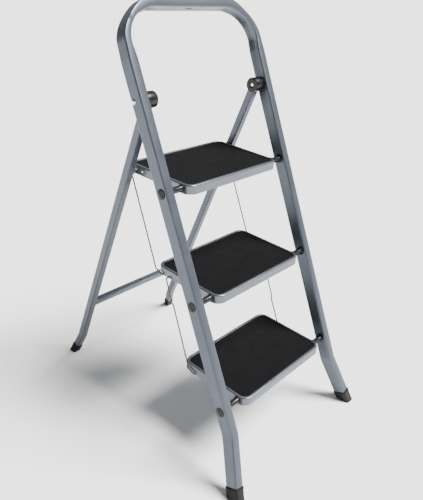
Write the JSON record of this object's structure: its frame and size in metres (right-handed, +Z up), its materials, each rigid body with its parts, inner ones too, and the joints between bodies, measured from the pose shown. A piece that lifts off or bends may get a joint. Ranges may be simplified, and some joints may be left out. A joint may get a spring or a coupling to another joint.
{
  "type": "step stool",
  "caption": "Folding step stool: leaning bent-tube front frame with a hoop handle, swing-in rear frame, matted steel treads linked by bent wires.",
  "frame": {"origin": "on the floor, under the middle of the stool's bounding box as it stands open", "axes": "+Z up; the steps face -Y and the rear frame stands at +Y; +X is to the right of a person who faces the steps"},
  "size_m": [0.5298, 0.7294, 1.0239],
  "materials": {
    "painted_tube": "silver-grey powder coat, satin",
    "painted_sheet": "silver-grey powder coat, satin",
    "rubber_mat": "matt, fine grain",
    "rubber_foot": "matt",
    "black_plastic": "moulded, satin",
    "zinc_steel": "zinc plated",
    "zinc_wire": "zinc plated, dull",
    "bright_rivet": "bright"
  },
  "bodies": {
    "front_frame": {"front_frame": "painted_tube", "front_foot_left": "rubber_foot", "front_foot_right": "rubber_foot", "top_axle": "zinc_steel", "middle_axle": "zinc_steel", "lower_axle": "zinc_steel", "top_spacer_left": "black_plastic", "top_spacer_right": "black_plastic", "middle_spacer_left": "black_plastic", "middle_spacer_right": "black_plastic", "lower_spacer_left": "black_plastic", "lower_spacer_right": "black_plastic", "top_plug_left": "black_plastic", "top_plug_right": "black_plastic", "middle_plug_left": "black_plastic", "middle_plug_right": "black_plastic", "lower_plug_left": "black_plastic", "lower_plug_right": "black_plastic", "pivot_rivet_left": "bright_rivet", "pivot_rivet_right": "bright_rivet"},
    "rear_frame": {"rear_leg_left": "painted_tube", "rear_leg_right": "painted_tube", "lower_crossbar": "painted_tube", "rest_bracket_left": "painted_tube", "rest_bracket_right": "painted_tube", "rear_foot_left": "rubber_foot", "rear_foot_right": "rubber_foot", "pivot_cap_left": "black_plastic", "pivot_cap_right": "black_plastic", "cap_rivet_left": "bright_rivet", "cap_rivet_right": "bright_rivet"},
    "top_step": {"top_tray": "painted_sheet", "top_mat": "rubber_mat", "stud_plate_left": "zinc_steel", "stud_plate_right": "zinc_steel", "rest_stud_left": "bright_rivet", "rest_stud_right": "bright_rivet", "plate_rivet_left": "bright_rivet", "plate_rivet_right": "bright_rivet"},
    "middle_step": {"middle_tray": "painted_sheet", "middle_mat": "rubber_mat"},
    "lower_step": {"lower_tray": "painted_sheet", "lower_mat": "rubber_mat"},
    "upper_wire_left": {"upper_wire_left": "zinc_wire"},
    "upper_wire_right": {"upper_wire_right": "zinc_wire"},
    "lower_wire_left": {"lower_wire_left": "zinc_wire"},
    "lower_wire_right": {"lower_wire_right": "zinc_wire"}
  },
  "joints": [
    {"name": "step_fold", "type": "hinge", "parent": "front_frame", "child": "top_step", "pos_m": [0, -0.02677, 0.65], "axis": [1, 0, 0], "range_deg": [0, 64]},
    {"name": "middle_step_fold", "type": "hinge", "parent": "front_frame", "child": "middle_step", "pos_m": [0, -0.13895, 0.42], "axis": [1, 0, 0], "range_deg": [0, 64]},
    {"name": "lower_step_fold", "type": "hinge", "parent": "front_frame", "child": "lower_step", "pos_m": [0, -0.25113, 0.19], "axis": [1, 0, 0], "range_deg": [0, 64]},
    {"name": "rear_frame_fold", "type": "hinge", "parent": "front_frame", "child": "rear_frame", "pos_m": [0, 0.06757, 0.82518], "axis": [-1, 0, 0], "range_deg": [0, 40.5]},
    {"name": "upper_wire_left_turn", "type": "hinge", "parent": "top_step", "child": "upper_wire_left", "pos_m": [-0.1624, 0.12923, 0.641], "axis": [-1, 0, 0], "range_deg": [0, 64]},
    {"name": "upper_wire_right_turn", "type": "hinge", "parent": "top_step", "child": "upper_wire_right", "pos_m": [0.1624, 0.12923, 0.641], "axis": [-1, 0, 0], "range_deg": [0, 64]},
    {"name": "lower_wire_left_turn", "type": "hinge", "parent": "middle_step", "child": "lower_wire_left", "pos_m": [-0.1624, -0.00195, 0.411], "axis": [-1, 0, 0], "range_deg": [0, 64]},
    {"name": "lower_wire_right_turn", "type": "hinge", "parent": "middle_step", "child": "lower_wire_right", "pos_m": [0.1624, -0.01895, 0.411], "axis": [-1, 0, 0], "range_deg": [0, 64]}
  ],
  "couplings": [
    {"joint": "middle_step_fold", "follows": "step_fold", "ratio": 1},
    {"joint": "lower_step_fold", "follows": "step_fold", "ratio": 1},
    {"joint": "rear_frame_fold", "follows": "step_fold", "ratio": 0.63281},
    {"joint": "upper_wire_left_turn", "follows": "step_fold", "ratio": 1},
    {"joint": "upper_wire_right_turn", "follows": "step_fold", "ratio": 1},
    {"joint": "lower_wire_left_turn", "follows": "step_fold", "ratio": 1},
    {"joint": "lower_wire_right_turn", "follows": "step_fold", "ratio": 1}
  ]
}
